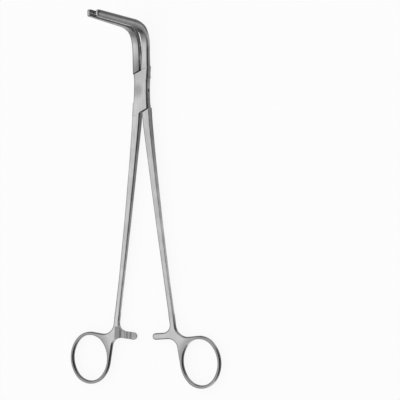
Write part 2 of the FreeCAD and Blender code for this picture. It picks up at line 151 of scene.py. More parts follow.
def window(tree, value, low, high, soft):
    """1 between low and high, fading to 0 over the soft distance outside."""
    rise = ramp(tree, value, low - soft, low)
    fall = ramp(tree, value, high, high + soft, 1.0, 0.0)
    return number(tree, "MULTIPLY", rise, fall)


# %% [markdown]
# ## Floor and light
#
# Steel has hardly any colour of its own: what is seen is what it mirrors. A wide soft box
# hangs where the flat fronts of the arms mirror it, up and to the left, so they come out
# light. The flanks mirror the floor beside them, which lies in their own shade.

# %% Floor
FLOOR_SIZE = 6.0
FLOOR_GAP = 0.2 * MM
FLOOR_COLOUR = (0.93, 0.93, 0.93, 1)
FLOOR_ROUGHNESS = 0.9

floor_mesh = bpy.data.meshes.new("floor")
bm = bmesh.new()
bmesh.ops.create_grid(bm, x_segments=1, y_segments=1, size=FLOOR_SIZE / 2)
bm.to_mesh(floor_mesh)
bm.free()
floor = bpy.data.objects.new("floor", floor_mesh)
floor.location.z = cad_low.z - FLOOR_GAP
scene.collection.objects.link(floor)
floor_material = bpy.data.materials.new("pale_floor")
floor_material.use_nodes = True
floor_tree = floor_material.node_tree
floor_shader = floor_tree.nodes["Principled BSDF"]
floor_shader.inputs["Base Color"].default_value = FLOOR_COLOUR
floor_shader.inputs["Roughness"].default_value = FLOOR_ROUGHNESS
floor_shader.inputs["Specular IOR Level"].default_value = 0.0
floor_mesh.materials.append(floor_material)
print("floor at", round(floor.location.z, 4), "m")

# %% [markdown]
# The photograph's ground is pure white. More lamps would bleach the steel, so the floor
# itself shows white instead: to the camera, and to whatever mirrors it, most of it is a
# plain glow of strength 1, and the rest is the lit floor, which keeps a faint shadow.

# %% White to the camera
SHOWN_WHITE = 0.88

ray = floor_tree.nodes.new("ShaderNodeLightPath").outputs
seen = number(floor_tree, "MAXIMUM", ray["Is Camera Ray"], ray["Is Glossy Ray"])
seen = number(floor_tree, "MAXIMUM", seen, ray["Is Transmission Ray"])
glow = floor_tree.nodes.new("ShaderNodeEmission")
glow.inputs["Strength"].default_value = 1.0
shown = floor_tree.nodes.new("ShaderNodeMixShader")
feed(floor_tree, number(floor_tree, "MULTIPLY", seen, SHOWN_WHITE), shown.inputs["Fac"])
floor_tree.links.new(floor_shader.outputs["BSDF"], shown.inputs[1])
floor_tree.links.new(glow.outputs["Emission"], shown.inputs[2])
floor_tree.links.new(shown.outputs["Shader"],
                     floor_tree.nodes["Material Output"].inputs["Surface"])
print("floor shows", SHOWN_WHITE, "of plain white")

# %% [markdown]
# Two soft boxes light the steel. Small lamps would put hard sparks on it, which satin
# steel doesn't show, so both are wide squares that face the middle of the instrument.

# %% Lamps
LIT_PLACE = Vector((0, -80 * MM, 0))
LAMP_DISTANCE = 1.4
# name, direction from the instrument, side in metres, watts
LAMPS = (("key_left", (-0.50, 0.1, 0.86), 1.5, 2.4),
         ("top_fill", (0.1, 0.9, 0.75), 0.6, 0.8))

for lamp_name, direction, lamp_side, watts in LAMPS:
    lamp_data = bpy.data.lights.new(lamp_name, "AREA")
    lamp_data.shape = "SQUARE"
    lamp_data.size = lamp_side
    lamp_data.energy = watts
    lamp = bpy.data.objects.new(lamp_name, lamp_data)
    away = Vector(direction).normalized()
    lamp.location = LIT_PLACE + away * LAMP_DISTANCE
    lamp.rotation_mode = "QUATERNION"
    lamp.rotation_quaternion = away.to_track_quat("Z", "Y")
    scene.collection.objects.link(lamp)
    print(lamp_name, watts, "W")

# %% [markdown]
# The room round the table gives the rest. An even white room would make every side of the
# steel alike. In the photograph the sides that look right are darker, so the sky fades to
# a dim grey towards +X.

# %% World
WORLD_LEVEL = 0.86
DARK_SIDE_LEVEL = 0.22
DARK_SIDE = (0.35, 0.80)       # how far to the right it starts, and is full

world = bpy.data.worlds.new("studio")
world.use_nodes = True
sky = world.node_tree
split = sky.nodes.new("ShaderNodeSeparateXYZ")
feed(sky, sky.nodes.new("ShaderNodeTexCoord").outputs["Generated"], split.inputs["Vector"])
background = sky.nodes["Background"]
background.inputs["Color"].default_value = (1, 1, 1, 1)
feed(sky, ramp(sky, split.outputs["X"], *DARK_SIDE, WORLD_LEVEL, DARK_SIDE_LEVEL),
     background.inputs["Strength"])
scene.world = world
print("world from", WORLD_LEVEL, "to", DARK_SIDE_LEVEL)

# %% [markdown]
# ## Tools for the steel
#
# Most of the finish, and the shade painted into it, is worked out from where a point is
# on the arm and which way its surface faces, so that it stays on the steel when the arm
# turns or the camera moves.
# What all the steels share goes into shader groups, which are built once.

# %% Group helpers
FLOAT = "NodeSocketFloat"
VECTOR = "NodeSocketVector"


def new_group(name, inputs, outputs):
    """An empty shader group with number inputs (name, default) and outputs (name, type)."""
    group = bpy.data.node_groups.new(name, "ShaderNodeTree")
    for socket_name, default in inputs:
        socket = group.interface.new_socket(socket_name, in_out="INPUT", socket_type=FLOAT)
        socket.default_value = default
    for socket_name, kind in outputs:
        group.interface.new_socket(socket_name, in_out="OUTPUT", socket_type=kind)
    return group, group.nodes.new("NodeGroupInput"), group.nodes.new("NodeGroupOutput")


def use_group(tree, group, inputs):
    """Place a group in a tree, feed its inputs by name and give its outputs."""
    node = tree.nodes.new("ShaderNodeGroup")
    node.node_tree = group
    for socket_name, value in inputs.items():
        feed(tree, value, node.inputs[socket_name])
    return node.outputs


# %% [markdown]
# A place or a direction on the arm is a vector. Object coordinates give it in the piece's
# own space, in metres, so a mark can be set out from the drawing's own sizes.

# %% Places and directions


def vector(tree, operation, first, second):
    """A Vector Math node; a dot product or length comes out as a number."""
    node = tree.nodes.new("ShaderNodeVectorMath")
    node.operation = operation
    feed(tree, first, node.inputs[0])
    if second is not None:
        feed(tree, second, node.inputs[1])
    is_number = operation in ("DOT_PRODUCT", "LENGTH")
    return node.outputs["Value" if is_number else "Vector"]


def combine(tree, *parts):
    """A vector of three numbers."""
    node = tree.nodes.new("ShaderNodeCombineXYZ")
    for part, socket in zip(parts, node.inputs):
        feed(tree, part, socket)
    return node.outputs["Vector"]


def place_on_arm(tree):
    """The point's place in the piece's own space, whole and as X, Y and Z."""
    place = tree.nodes.new("ShaderNodeTexCoord").outputs["Object"]
    parts = tree.nodes.new("ShaderNodeSeparateXYZ")
    tree.links.new(place, parts.inputs["Vector"])
    return place, parts.outputs["X"], parts.outputs["Y"], parts.outputs["Z"]


# %% [markdown]
# A tone is the grey that the steel throws back, from 0 to 1. Marks change it by shares, so
# that a smudge looks as deep on a dark flank as on a light front. Where the tone changes
# across a side, a colour ramp holds it as a row of stops.

# %% Tones


def darken(tree, tone, mask, depth):
    """Take the share depth off a tone where the mask is 1."""
    keep = number(tree, "SUBTRACT", 1.0, number(tree, "MULTIPLY", mask, depth))
    return number(tree, "MULTIPLY", tone, keep)


def lighten(tree, tone, mask, share):
    """Add a share of a tone to it where the mask is 1."""
    return darken(tree, tone, mask, -share)


def bands(tree, spot, stops):
    """The tone at a spot from 0 to 1 across a side, eased between (spot, tone) stops."""
    curve = tree.nodes.new("ShaderNodeValToRGB")
    curve.color_ramp.interpolation = "EASE"
    feed(tree, spot, curve.inputs["Fac"])
    elements = curve.color_ramp.elements
    while len(elements) < len(stops):
        elements.new(1.0)
    for element, (position, tone) in zip(elements, stops):
        element.position = position
        element.color = (tone, tone, tone, 1)
    return curve.outputs["Color"]


# %% [markdown]
# ## Which way the steel faces
#
# Fronts and backs of a forged arm are bead blasted, and its narrow flanks are ground.
# Every edge between them is broken by hand. Loops could be bevelled into the mesh, but the
# imported pieces stay as they are, so the Bevel node rounds only the normal. It is turned
# into the piece's own space, where Z tells front from flank and X tells left from right.
# Four masks say how far the surface has turned right, left, up or down, and the steps below
# paint shade with them. The left one starts early, because the fronts of the arms roll off
# gently to the left.

# %% Facing group
EDGE_SAMPLES = 16
EDGE_RADIUS = 0.35 * MM
# mask, part of the normal, where it starts, and where it is full
TURNS = (("Rightward", "X", 0.08, 0.55),
         ("Leftward", "X", -0.02, -0.50),
         ("Upward", "Y", 0.20, 0.85),
         ("Downward", "Y", -0.20, -0.85))

facing, entry, leave = new_group(
    "facing", [("Edge radius", EDGE_RADIUS)],
    [("Rightward", FLOAT), ("Leftward", FLOAT), ("Upward", FLOAT), ("Downward", FLOAT),
     ("Own X", FLOAT), ("Own Y", FLOAT), ("Own Z", FLOAT), ("Normal", VECTOR)])
bevel = facing.nodes.new("ShaderNodeBevel")
bevel.samples = EDGE_SAMPLES
feed(facing, entry.outputs["Edge radius"], bevel.inputs["Radius"])
own_normal = facing.nodes.new("ShaderNodeVectorTransform")
own_normal.vector_type = "NORMAL"
own_normal.convert_from = "WORLD"
own_normal.convert_to = "OBJECT"
feed(facing, bevel.outputs["Normal"], own_normal.inputs["Vector"])
own_parts = facing.nodes.new("ShaderNodeSeparateXYZ")
feed(facing, own_normal.outputs["Vector"], own_parts.inputs["Vector"])
for mask_name, axis, start, full in TURNS:
    feed(facing, ramp(facing, own_parts.outputs[axis], start, full), leave.inputs[mask_name])
for axis in "XYZ":
    feed(facing, own_parts.outputs[axis], leave.inputs["Own " + axis])
feed(facing, bevel.outputs["Normal"], leave.inputs["Normal"])
print("facing group:", len(facing.nodes), "nodes")

# %% [markdown]
# ## Lines that follow the bend
#
# A belt grinder leaves its lines along the arm, and they go round the jaw's right-angle
# bend with it. Stretching a noise along one axis can't do that. The group below measures
# how deep a point lies in the arm: from the bend's centre outwards, and straight on along
# the stem on one side and the jaw on the other. "Across" is that depth from the arm's
# inner or front edge, 0, to its outer or back edge, 1. "Along" is a place to read a noise
# at, squeezed so that the noise comes out stretched along the arm.

# %% Depth in the arm
BEND_CENTRE_Y = 27.94 * MM
BEND_CENTRE_Z = 17.0 * MM
JAW_RISE = math.radians(7.0)

depth_group, entry, leave = new_group("depth_in_arm", [],
                                      [("Across", FLOAT), ("Along", VECTOR)])
place, place_x, place_y, place_z = place_on_arm(depth_group)
from_centre = vector(depth_group, "SUBTRACT", place, (0, BEND_CENTRE_Y, BEND_CENTRE_Z))
behind_stem = vector(depth_group, "DOT_PRODUCT", from_centre, (0, 0, -1))
above_jaw = vector(depth_group, "DOT_PRODUCT", from_centre,
                   (0, math.cos(JAW_RISE), -math.sin(JAW_RISE)))
depth = vector(depth_group, "LENGTH",
               combine(depth_group, number(depth_group, "MAXIMUM", behind_stem, 0.0),
                       number(depth_group, "MAXIMUM", above_jaw, 0.0), 0.0), None)
print("depth is measured from Y", BEND_CENTRE_Y, "Z", BEND_CENTRE_Z)

# %% [markdown]
# The jaw lies a little further from the bend's centre than the stem does. So the depth is
# shifted on the jaw before it is spread over 0 to 1, or the painted highlight and shade
# bands would run off its edge.

# %% Across and along the arm
INNER_DEPTH = 11.3 * MM
OUTER_DEPTH = 16.3 * MM
JAW_SHIFT = 1.25 * MM          # the jaw lies this much further out than the bend
JAW_SHIFT_Z = (8 * MM, 26 * MM)
ALONG_STRETCH = 0.05

shift = ramp(depth_group, place_z, *JAW_SHIFT_Z, 0.0, JAW_SHIFT)
across = depth_group.nodes.new("ShaderNodeMapRange")
feed(depth_group, number(depth_group, "SUBTRACT", depth, shift), across.inputs["Value"])
across.inputs["From Min"].default_value = INNER_DEPTH
across.inputs["From Max"].default_value = OUTER_DEPTH
feed(depth_group, across.outputs["Result"], leave.inputs["Across"])
travel = number(depth_group, "ADD", place_y, place_z)
travel = number(depth_group, "MULTIPLY", travel, ALONG_STRETCH)
feed(depth_group, combine(depth_group, place_x, depth, travel), leave.inputs["Along"])
print("depth group:", len(depth_group.nodes), "nodes")

# %% [markdown]
# ## Grain, streaks and clouds
#
# Blasted steel is speckled at a tenth of a millimetre, the belt leaves streaks, and
# handling leaves broad, faint clouds. Each is one noise, fine, stretched or broad.

# %% Grain group
NOISE_STEP = (0.28, 0.72)      # the part of each noise that is spread over 0 to 1

grain, entry, leave = new_group(
    "steel_grain",
    [("Speckle scale", 5200), ("Streak scale", 1500), ("Cloud scale", 95)],
    [("Speckle", FLOAT), ("Streak", FLOAT), ("Cloud", FLOAT)])
place, place_x, place_y, place_z = place_on_arm(grain)
along = use_group(grain, depth_group, {})["Along"]
for noise_name, source, detail in (("Speckle", place, 2),
                                   ("Streak", along, 3),
                                   ("Cloud", place, 4)):
    noise = grain.nodes.new("ShaderNodeTexNoise")
    noise.inputs["Detail"].default_value = detail
    feed(grain, source, noise.inputs["Vector"])
    feed(grain, entry.outputs[noise_name + " scale"], noise.inputs["Scale"])
    feed(grain, ramp(grain, noise.outputs["Fac"], *NOISE_STEP), leave.inputs[noise_name])
print("grain group:", len(grain.nodes), "nodes")

# %% [markdown]
# ## Dark lines at the lock
#
# The ends of the lock plate meet the other arm in two slanting joints. A dark line is
# painted there, wider than the gap itself: partly grime, partly painted shade in the joint.
# Such a line could be cut or painted as a texture, but it is simpler to measure how near a
# point is to the joint's straight line. The lines are set out from the shut drawing, turned
# to where the female arm rests.

# %% A joint's line
REST_TURN = math.radians(-2.3)
JOINT_HALF_WIDTH = 0.12 * MM
JOINT_FADE = 0.75 * MM
JOINT_END_FADE = 0.4 * MM


def at_rest(x, y):
    """A place on the shut drawing, in millimetres, turned to the female arm's rest."""
    return Vector((x * math.cos(REST_TURN) - y * math.sin(REST_TURN),
                   x * math.sin(REST_TURN) + y * math.cos(REST_TURN), 0)) * MM


def joint_line(tree, place, start, end):
    """A mask along the straight joint between two places."""
    run = (end - start).normalized()
    side = Vector((-run.y, run.x, 0))
    offset = vector(tree, "SUBTRACT", place, tuple(start))
    aside = number(tree, "ABSOLUTE", vector(tree, "DOT_PRODUCT", offset, tuple(side)))
    near = ramp(tree, aside, JOINT_HALF_WIDTH, JOINT_FADE, 1.0, 0.0)
    reach = vector(tree, "DOT_PRODUCT", offset, tuple(run))
    length = (end - start).length
    return number(tree, "MULTIPLY", near, window(tree, reach, 0.0, length, JOINT_END_FADE))


# %% [markdown]
# One joint is above the rivet, on the left, and the other below it, on the right. Both
# arms use the same group, so each keeps its half of the line when the lock opens.

# %% Marks group
UPPER_JOINT = (at_rest(-4.85, 10.7), at_rest(0, 13.3))
LOWER_JOINT = (at_rest(0, -14.0), at_rest(5.2, -11.0))

marks, entry, leave = new_group(
    "arm_marks", [],
    [("Joint", FLOAT), ("Smudge", FLOAT), ("Off pin", FLOAT), ("Ring", FLOAT),
     ("At handle", FLOAT), ("On bars", FLOAT)])
place, place_x, place_y, place_z = place_on_arm(marks)
upper = joint_line(marks, place, *UPPER_JOINT)
lower = joint_line(marks, place, *LOWER_JOINT)
feed(marks, number(marks, "MAXIMUM", upper, lower), leave.inputs["Joint"])
print("two joint lines")

# %% [markdown]
# The rivet is ground flush with the plate and polished away, and only a faint, uneven
# smudge is left beside it. The smudge is an oval whose edge is moved in and out by a
# noise. "Off pin" keeps the broken edges away from the rivet's rim, so that it stays flat.

# %% Smudge and rivet
SMUDGE_CENTRE = (-2.2 * MM, 0.5 * MM, 0)
SMUDGE_HALF_WIDTH = 4.6 * MM
SMUDGE_HALF_HEIGHT = 7.0 * MM
SMUDGE_FADE = (0.45, 1.45)     # in half widths
WOBBLE_SCALE = 240
WOBBLE_REACH = 0.7
PIN_RIM = (2.0 * MM, 2.6 * MM)

wobble = marks.nodes.new("ShaderNodeTexNoise")
wobble.inputs["Scale"].default_value = WOBBLE_SCALE
feed(marks, place, wobble.inputs["Vector"])
oval = vector(marks, "SUBTRACT", place, SMUDGE_CENTRE)
oval = vector(marks, "MULTIPLY", oval, (1 / SMUDGE_HALF_WIDTH, 1 / SMUDGE_HALF_HEIGHT, 0))
uneven = number(marks, "ADD", vector(marks, "LENGTH", oval, None),
                number(marks, "MULTIPLY", wobble.outputs["Fac"], WOBBLE_REACH))
feed(marks, ramp(marks, uneven, *SMUDGE_FADE, 1.0, 0.0), leave.inputs["Smudge"])
from_pin = vector(marks, "LENGTH", vector(marks, "MULTIPLY", place, (1, 1, 0)), None)
feed(marks, ramp(marks, from_pin, *PIN_RIM), leave.inputs["Off pin"])
print("smudge beside the rivet")

# %% [markdown]
# The rings' narrow fronts are rounder and duller than the flat handles, and both ratchet
# bars need a finish of their own, so three more masks say where those are. An oval is
# measured in half widths of the finger opening, and a bar lies in a simple box.

# %% Rings and bars
RING_CENTRE = (38.6 * MM, -174.7 * MM, 0)
RING_OPENING = (12.0 * MM, 15.1 * MM, 1)
RING_FADE = (1.08, 1.5)        # in half widths of the opening
HANDLE_START = (-140 * MM, -156 * MM)
BARS_X = (-22 * MM, 19 * MM, 1.5 * MM)
BARS_Y = (-166 * MM, -150 * MM, 1 * MM)

either_ring = combine(marks, number(marks, "ABSOLUTE", place_x), place_y, 0.0)
oval = vector(marks, "SUBTRACT", either_ring, RING_CENTRE)
oval = vector(marks, "DIVIDE", oval, RING_OPENING)
feed(marks, ramp(marks, vector(marks, "LENGTH", oval, None), *RING_FADE, 1.0, 0.0),
     leave.inputs["Ring"])
feed(marks, ramp(marks, place_y, *HANDLE_START), leave.inputs["At handle"])
feed(marks, number(marks, "MULTIPLY", window(marks, place_x, *BARS_X),
                   window(marks, place_y, *BARS_Y)), leave.inputs["On bars"])
print("marks group:", len(marks.nodes), "nodes")

# %% [markdown]
# ## The gripping faces
#
# Each jaw's inner face has four grooves that run along it, in two pairs. The grooves are
# cut in the solid, but they are finer than a pixel of most pictures, and their light ridges
# and dark bottoms would average to grey. So the group also paints the face in bands across
# the jaw: painted highlights on the ridges and painted shade in the grooves. It finds the
# face by the mesh's own normal, because a rounded one would blur it.

# %% Grip group
GRIP_FACING = (0.35, 0.6)
GRIP_START_Y = (14 * MM, 20 * MM)
# painted highlights on the ridges and painted shade in the grooves
GRIP_HIGHLIGHT_SHADE_BANDS = ((0.00, 0.40), (0.12, 0.50), (0.18, 0.10), (0.36, 0.12), (0.43, 0.60),
              (0.55, 0.60), (0.63, 0.07), (0.80, 0.07), (0.88, 0.35), (1.00, 0.30))

grip_group, entry, leave = new_group("grip_lines", [("Side", 1.0)],
                                     [("On grip", FLOAT), ("Tone", FLOAT)])
place, place_x, place_y, place_z = place_on_arm(grip_group)
mesh_normal = grip_group.nodes.new("ShaderNodeTexCoord").outputs["Normal"]
toward_other = number(grip_group, "MULTIPLY", entry.outputs["Side"],
                      vector(grip_group, "DOT_PRODUCT", mesh_normal, (1, 0, 0)))
feed(grip_group, number(grip_group, "MULTIPLY", ramp(grip_group, toward_other, *GRIP_FACING),
                        ramp(grip_group, place_y, *GRIP_START_Y)), leave.inputs["On grip"])
across_arm = use_group(grip_group, depth_group, {})["Across"]
feed(grip_group, bands(grip_group, across_arm, GRIP_HIGHLIGHT_SHADE_BANDS), leave.inputs["Tone"])
print("grip group:", len(grip_group.nodes), "nodes")

# %% [markdown]
# ## How widely each edge is broken
#
# A forged instrument has no sharp edge where a hand goes. Its stems and shanks are rounded
# most, the lock plates and handles less, and the jaws' tips less again. The gripping faces
# and the rivet's rim stay sharp. One radius for all would be simpler, but it would wash
# out the grooves.

# %% Edge group
SHARPEST_EDGE = 0.05 * MM
GRIP_EDGE = 0.10 * MM
TIP_EDGE = 0.40 * MM
HANDLE_EDGE = 0.70 * MM
LOCK_EDGE = 0.75 * MM
SHANK_EDGE = 0.95 * MM
SHANK_START = (15 * MM, 30 * MM)     # away from the rivet, up or down
TIP_START_Z = (74 * MM, 76 * MM)

edge_group, entry, leave = new_group("edge_width", [("On grip", 0.0)], [("Radius", FLOAT)])
place, place_x, place_y, place_z = place_on_arm(edge_group)
where = use_group(edge_group, marks, {})
from_rivet = number(edge_group, "ABSOLUTE", place_y)
radius = blend(edge_group, ramp(edge_group, from_rivet, *SHANK_START), LOCK_EDGE, SHANK_EDGE)
radius = blend(edge_group, where["At handle"], radius, HANDLE_EDGE)
radius = blend(edge_group, where["Off pin"], SHARPEST_EDGE, radius)
radius = blend(edge_group, ramp(edge_group, place_z, *TIP_START_Z), radius, TIP_EDGE)
radius = blend(edge_group, entry.outputs["On grip"], radius, GRIP_EDGE)
feed(edge_group, radius, leave.inputs["Radius"])
print("edge group:", len(edge_group.nodes), "nodes")

# %% [markdown]
# ## The tone of each side
#
# A Principled shader with full Metallic gives the mirror, and the groups move its colour,
# roughness and bump. What changes from place to place is how much light each side throws
# back, as painted shade: the fronts most, the flanks less, the grooves nearly nothing. A
# flank isn't even either. On the jaws it has painted highlights and shade in bands from
# the inner edge, 0, to the back, 1, and its back and inside have painted shade of their
# own.

# %% Jaw group
JAW_START_Z = (5.8 * MM, 9 * MM)
# painted highlights and shade across the jaw's flank
JAW_HIGHLIGHT_SHADE_BANDS = ((0.00, 0.05), (0.06, 0.30), (0.14, 0.10), (0.22, 0.34), (0.29, 0.24),
             (0.35, 0.37), (0.44, 0.32), (0.52, 0.17), (0.61, 0.08), (0.86, 0.06),
             (0.95, 0.09), (1.00, 0.38))
# painted shade on the jaw's back and inside
JAW_BACK_SHADE = 0.34
JAW_INSIDE_SHADE = 0.22

jaw_group, entry, leave = new_group("jaw_side", [("Upward", 0.0), ("Downward", 0.0)],
                                    [("On jaw", FLOAT), ("Tone", FLOAT)])
place, place_x, place_y, place_z = place_on_arm(jaw_group)
across_arm = use_group(jaw_group, depth_group, {})["Across"]
tone = bands(jaw_group, across_arm, JAW_HIGHLIGHT_SHADE_BANDS)
tone = blend(jaw_group, entry.outputs["Upward"], tone, JAW_BACK_SHADE)
tone = blend(jaw_group, entry.outputs["Downward"], tone, JAW_INSIDE_SHADE)
feed(jaw_group, tone, leave.inputs["Tone"])
feed(jaw_group, ramp(jaw_group, place_z, *JAW_START_Z), leave.inputs["On jaw"])
print("jaw group:", len(jaw_group.nodes), "nodes")

# %% [markdown]
# The handles and rings have a narrow, round rim in place of a flank. It is dark where it
# looks right or up, where the room is dim or the arm shades itself, and light elsewhere.
# The ratchet bars are dark below as well.

# %% Handle group
RIM_LIGHT = 0.34
RIM_DARK = 0.06
RIM_SHADE = 0.85
RIM_SIDEWAYS = (0.0, 0.55)

rim_group, entry, leave = new_group(
    "handle_rim", [("Upward", 0.0), ("Downward", 0.0), ("Own X", 0.0), ("Own Y", 0.0)],
    [("Tone", FLOAT)])
turned_to = entry.outputs
below = number(rim_group, "MULTIPLY", turned_to["Downward"],
               use_group(rim_group, marks, {})["On bars"])
shaded = number(rim_group, "MULTIPLY",
                number(rim_group, "MAXIMUM", turned_to["Upward"], below), RIM_SHADE)
sideways = number(rim_group, "SUBTRACT", turned_to["Own X"],
                  number(rim_group, "ABSOLUTE", turned_to["Own Y"]))
shaded = number(rim_group, "MAXIMUM", ramp(rim_group, sideways, *RIM_SIDEWAYS), shaded)
feed(rim_group, blend(rim_group, shaded, RIM_LIGHT, RIM_DARK), leave.inputs["Tone"])
print("rim group:", len(rim_group.nodes), "nodes")

# %% [markdown]
# ## Wear and grain
#
# Over every side lie the same marks: the smudge at the rivet, clouds from handling, belt
# streaks that are weaker on the hand-polished handles, speckle, and last the dark joints,
# which are partly grime and partly painted shade.
# The group takes the clean tone and gives it back marked. It also gives the roughness,
# which follows the clouds, and the height that the bump is made from.

# %% Wear group
SMUDGE_DEPTH = 0.34
CLOUD_DEPTH = 0.13
STREAK_DEPTH = 0.15
HANDLE_POLISH = 0.8            # the share of the streaks that is polished off there
SPECKLE_DEPTH = 0.06
# the joints' dark line is partly grime and partly painted shade
JOINT_GRIME_AND_SHADE = 0.07
ROUGHNESS = (0.27, 0.35)

wear_and_joint_shade, entry, leave = new_group("satin_marks_and_joint_shade", [("Tone", 0.5)],
                               [("Tone", FLOAT), ("Roughness", FLOAT), ("Height", FLOAT)])
where = use_group(wear_and_joint_shade, marks, {})
texture = use_group(wear_and_joint_shade, grain, {})
tone = darken(wear_and_joint_shade, entry.outputs["Tone"], where["Smudge"], SMUDGE_DEPTH)
tone = darken(wear_and_joint_shade, tone, texture["Cloud"], CLOUD_DEPTH)
streak = darken(wear_and_joint_shade, texture["Streak"], where["At handle"], HANDLE_POLISH)
tone = darken(wear_and_joint_shade, tone, streak, STREAK_DEPTH)
tone = darken(wear_and_joint_shade, tone, texture["Speckle"], SPECKLE_DEPTH)
feed(wear_and_joint_shade, blend(wear_and_joint_shade, where["Joint"], tone, JOINT_GRIME_AND_SHADE), leave.inputs["Tone"])
feed(wear_and_joint_shade, blend(wear_and_joint_shade, texture["Cloud"], *ROUGHNESS), leave.inputs["Roughness"])
feed(wear_and_joint_shade, number(wear_and_joint_shade, "ADD", texture["Speckle"], texture["Streak"]),
     leave.inputs["Height"])
print("wear group:", len(wear_and_joint_shade.nodes), "nodes")

# %% [markdown]
# ## Building a steel
#
# The two arms differ: one carries the lock plates and the stepped ratchet bar, the other a
# scooped stem. One long recipe would hide that, so a steel is built in steps. Each step
# takes the steel begun here and works out one part of its tone. "side" is the way that the
# arm's gripping face looks along X: left, -1, for the female arm, and right, 1, for the
# male one.

# %% Start of a steel
LEFT = -1
RIGHT = 1
BELOW_LOCK = (-30 * MM, -16 * MM, 14 * MM)


def start_steel(name, side):
    """A new material with the shared groups, and its point's place on the arm."""
    material = bpy.data.materials.new(name)
    material.use_nodes = True
    tree = material.node_tree
    x, y = place_on_arm(tree)[1:3]
    steel = SimpleNamespace(material=material, tree=tree, x=x, y=y, is_male=side == RIGHT)
    steel.shader = tree.nodes["Principled BSDF"]
    steel.shader.inputs["Metallic"].default_value = 1.0
    steel.marks = use_group(tree, marks, {})
    steel.grain = use_group(tree, grain, {})
    steel.grip = use_group(tree, grip_group, {"Side": side})
    radius = use_group(tree, edge_group, {"On grip": steel.grip["On grip"]})["Radius"]
    steel.facing = use_group(tree, facing, {"Edge radius": radius})
    steel.below_lock = window(tree, y, *BELOW_LOCK)
    return steel


# %% [markdown]
# A shank's flank is a forged surface with painted shade on it. By the lock the shade runs
# in bands along it, and further down it is plain. A painted highlight makes it lighter below
# the jaw's bend and beside the lock, and in the narrow fork below the lock painted shade
# makes the female arm's flank dark. Each of these is a window in Y.

# %% Flanks of the shanks
# painted shade across the shanks' flanks, in bands by the lock
FEMALE_SHADE_BANDS = ((0.00, 0.15), (0.14, 0.13), (0.26, 0.17), (0.42, 0.21), (0.70, 0.21),
                (1.00, 0.24))
MALE_SHADE_BANDS = ((0.00, 0.30), (0.20, 0.24), (0.50, 0.18), (1.00, 0.12))
FLANK_CLOUD = 0.30
# painted highlights below the bend and beside the lock, painted shade in the fork
BELOW_BEND = (30 * MM, 35 * MM, 4 * MM)
BELOW_BEND_HIGHLIGHT = 0.9
BESIDE_LOCK = (-11 * MM, 11 * MM, 3 * MM)
BESIDE_LOCK_HIGHLIGHT = 0.30
FORK_SHADE = 0.42


def flank_tone(steel, shank_bands, low_tone, low_range):
    """The flank's painted shade: bands by the lock, low_tone lower down, then jaw and handle.
    """
    tree = steel.tree
    turned_to = steel.facing
    across_arm = use_group(tree, depth_group, {})["Across"]
    steel.low = ramp(tree, steel.y, *low_range)
    tone = blend(tree, steel.low, bands(tree, across_arm, shank_bands), low_tone)
    tone = darken(tree, tone, steel.grain["Cloud"], FLANK_CLOUD)
    tone = lighten(tree, tone, window(tree, steel.y, *BELOW_BEND), BELOW_BEND_HIGHLIGHT)
    tone = lighten(tree, tone, window(tree, steel.y, *BESIDE_LOCK), BESIDE_LOCK_HIGHLIGHT)
    if not steel.is_male:
        tone = darken(tree, tone, steel.below_lock, FORK_SHADE)
    jaw = use_group(tree, jaw_group, {"Upward": turned_to["Upward"],
                                      "Downward": turned_to["Downward"]})
    tone = blend(tree, jaw["On jaw"], tone, jaw["Tone"])
    rim = use_group(tree, rim_group, {name: turned_to[name] for name in
                                      ("Upward", "Downward", "Own X", "Own Y")})
    return blend(tree, steel.marks["At handle"], tone, rim["Tone"])


# %% [markdown]
# The left ratchet bar lies half as deep as its handle. A ramp leads down to it, and four
# saw teeth are cut across it. The bar's front is given a darker tone than the arm's, and the
# teeth's painted shade goes no darker than a set tone. The ramp, which looks at the dim side
# of the room, gets a painted highlight. The tooth at the ramp's foot shades itself; the real
# one is rounder and lighter, so painted light is added there.

# %% The stepped ratchet bar
LEFT_BAR_X = (-17 * MM, 4 * MM, 0.8 * MM)
BAR_TONE = 0.36
# the teeth's painted shade goes no darker than this
TOOTH_SHADE_FLOOR = 0.29
# a painted highlight on the ramp
RAMP_X = (-22.0 * MM, -15.8 * MM, 1.2 * MM)
RAMP_SLANT = (0.3, 0.5)
RAMP_HIGHLIGHT_TONE = 0.66
# painted light on the tooth at the ramp's foot
FOOT_X = (-17.5 * MM, -16.8 * MM, 0.2 * MM)
FOOT_PAINTED_LIGHT = 1.3


def on_bar(steel, reach_x):
    """A mask over part of the ratchet bars."""
    return number(steel.tree, "MULTIPLY", steel.marks["On bars"],
                  window(steel.tree, steel.x, *reach_x))


def ratchet_flank(steel, flank):
    """The flank's painted shade with the teeth and the ramp's painted highlight in it."""
    tree = steel.tree
    teeth = number(tree, "MAXIMUM", flank, TOOTH_SHADE_FLOOR)
    flank = blend(tree, on_bar(steel, LEFT_BAR_X), flank, teeth)
    on_ramp = number(tree, "MULTIPLY", on_bar(steel, RAMP_X),
                     ramp(tree, steel.facing["Own Z"], *RAMP_SLANT))
    return blend(tree, on_ramp, flank, RAMP_HIGHLIGHT_TONE)


def ratchet_foot(steel, tone):
    """The tone with painted light on the tooth at the ramp's foot."""
    foot = number(steel.tree, "MULTIPLY", on_bar(steel, FOOT_X), steel.facing["Rightward"])
    return lighten(steel.tree, tone, foot, FOOT_PAINTED_LIGHT)


# %% [markdown]
# The blasted fronts are the lightest steel. They could be one tone all over, but the rings'
# narrow fronts get painted shade. Where the surface turns away, the flank's painted shade
# takes over, and a front that rolls off to the left gets a darker edge of painted shade,
# deeper on the male shank below the lock.

# %% Fronts and edges
FRONT_TONE = 0.57
# painted shade on the rings' narrow fronts
RING_SHADE = 0.38
END_START = (19 * MM, 25 * MM)       # away from the rivet, up or down
